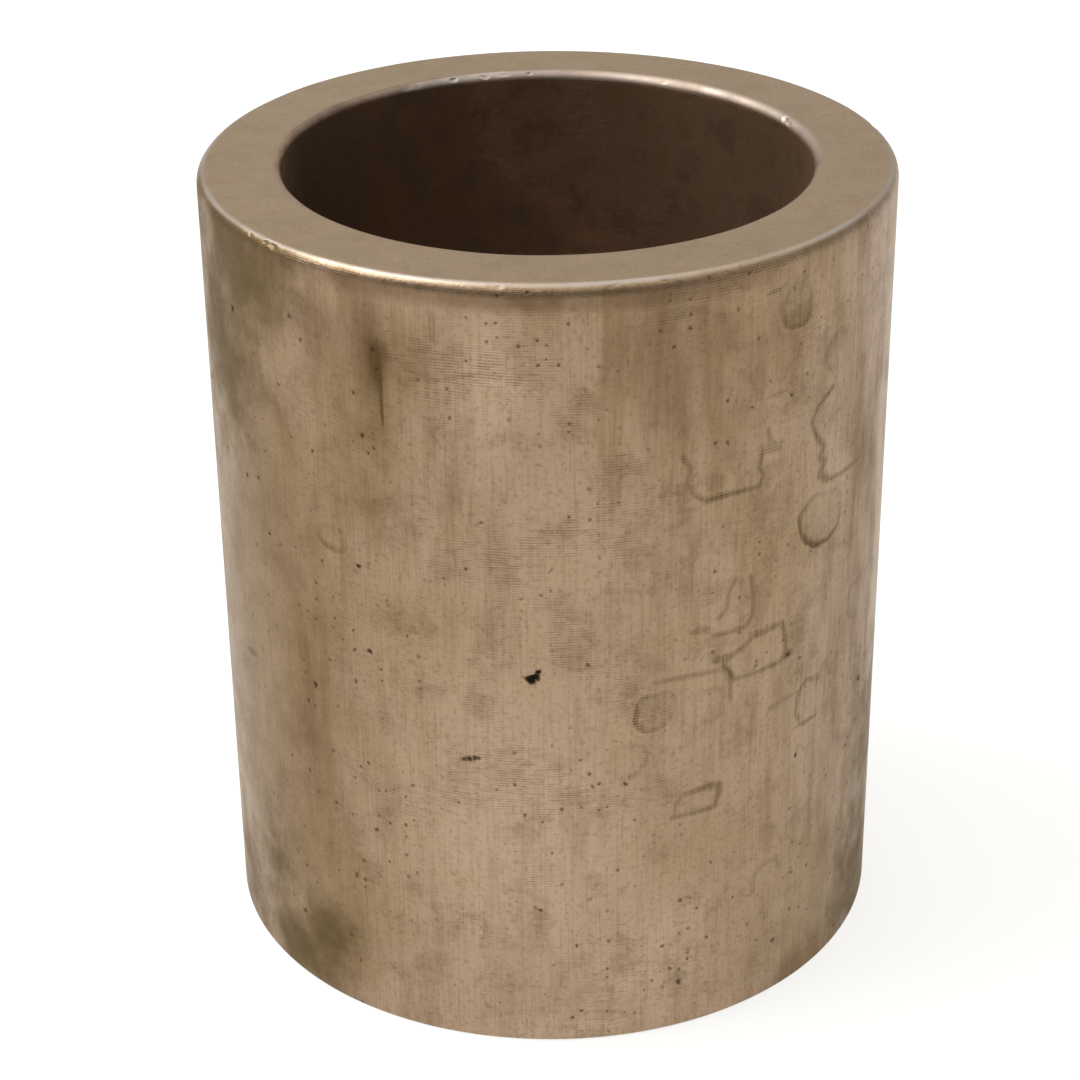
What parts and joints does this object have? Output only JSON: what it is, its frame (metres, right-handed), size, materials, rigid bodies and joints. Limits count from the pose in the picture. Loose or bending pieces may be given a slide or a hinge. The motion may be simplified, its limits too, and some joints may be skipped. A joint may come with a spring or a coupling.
{
  "type": "sleeve bushing",
  "caption": "Plain cylindrical bronze sleeve that lines a housing and carries a turning shaft, with square ends and lightly broken edges.",
  "frame": {"origin": "centre of the lower end, on the sleeve's axis, where it stands", "axes": "+Z along the sleeve's axis, from the lower end to the upper end; X and Y are equal, because the sleeve is round"},
  "size_m": [0.0666, 0.0666, 0.0794],
  "materials": {
    "bronze": "fine-turned bearing bronze, dulled by light tarnish and handling"
  },
  "bodies": {
    "root": {"bushing_sleeve": "bronze"}
  },
  "joints": []
}
